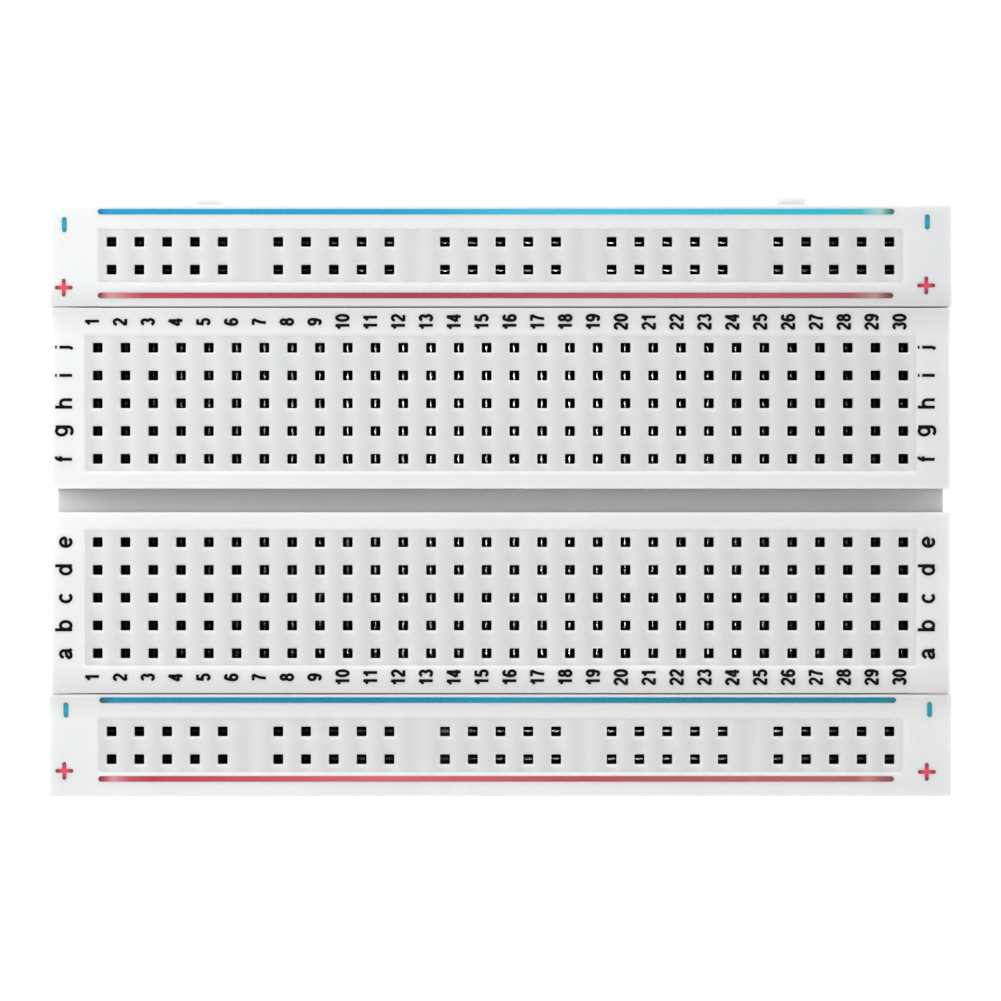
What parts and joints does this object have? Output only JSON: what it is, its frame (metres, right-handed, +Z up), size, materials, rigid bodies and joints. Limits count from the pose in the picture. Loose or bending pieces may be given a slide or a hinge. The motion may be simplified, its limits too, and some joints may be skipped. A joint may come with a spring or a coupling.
{
  "type": "solderless breadboard",
  "caption": "Flat white breadboard: a gridded terminal strip split by a centre groove, with a power rail dovetailed to each long side and an adhesive back.",
  "frame": {"origin": "the middle of the underside, below the middle of the contact grid, on the centre groove's line", "axes": "+X along the board in the direction of rising column numbers, +Y from row a to row j, +Z up out of the contact holes"},
  "size_m": [0.0826, 0.0548, 0.0085],
  "materials": {
    "housing_plastic": "satin",
    "contact_metal": "satin",
    "foam_tape": "matte",
    "release_paper": "satin"
  },
  "bodies": {
    "front_rail": {"front_rail_housing": "housing_plastic", "front_rail_liner": "release_paper", "front_rail_minus_contact": "contact_metal", "front_rail_plus_contact": "contact_metal", "front_rail_tape": "foam_tape"},
    "terminal_strip": {"contact_ae_01": "contact_metal", "contact_ae_02": "contact_metal", "contact_ae_03": "contact_metal", "contact_ae_04": "contact_metal", "contact_ae_05": "contact_metal", "contact_ae_06": "contact_metal", "contact_ae_07": "contact_metal", "contact_ae_08": "contact_metal", "contact_ae_09_10": "contact_metal", "contact_ae_11_12": "contact_metal", "contact_ae_13_14": "contact_metal", "contact_ae_15_16": "contact_metal", "contact_ae_17_18": "contact_metal", "contact_ae_19_20": "contact_metal", "contact_ae_21_22": "contact_metal", "contact_ae_23": "contact_metal", "contact_ae_24": "contact_metal", "contact_ae_25": "contact_metal", "contact_ae_26": "contact_metal", "contact_ae_27": "contact_metal", "contact_ae_28": "contact_metal", "contact_ae_29": "contact_metal", "contact_ae_30": "contact_metal", "contact_fj_01": "contact_metal", "contact_fj_02": "contact_metal", "contact_fj_03": "contact_metal", "contact_fj_04": "contact_metal", "contact_fj_05": "contact_metal", "contact_fj_06": "contact_metal", "contact_fj_07": "contact_metal", "contact_fj_08": "contact_metal", "contact_fj_09_10": "contact_metal", "contact_fj_11_12": "contact_metal", "contact_fj_13_14": "contact_metal", "contact_fj_15_16": "contact_metal", "contact_fj_17_18": "contact_metal", "contact_fj_19_20": "contact_metal", "contact_fj_21_22": "contact_metal", "contact_fj_23": "contact_metal", "contact_fj_24": "contact_metal", "contact_fj_25": "contact_metal", "contact_fj_26": "contact_metal", "contact_fj_27": "contact_metal", "contact_fj_28": "contact_metal", "contact_fj_29": "contact_metal", "contact_fj_30": "contact_metal", "terminal_strip_housing": "housing_plastic", "terminal_strip_liner": "release_paper", "terminal_strip_tape": "foam_tape"},
    "rear_rail": {"rear_rail_housing": "housing_plastic", "rear_rail_liner": "release_paper", "rear_rail_minus_contact": "contact_metal", "rear_rail_plus_contact": "contact_metal", "rear_rail_tape": "foam_tape"}
  },
  "joints": [
    {"name": "terminal_strip_lift", "type": "slide", "parent": "front_rail", "child": "terminal_strip", "axis": [0, 0, 1], "range_m": [0, 0.009]},
    {"name": "rear_rail_lift", "type": "slide", "parent": "terminal_strip", "child": "rear_rail", "axis": [0, 0, 1], "range_m": [0, 0.009]}
  ]
}
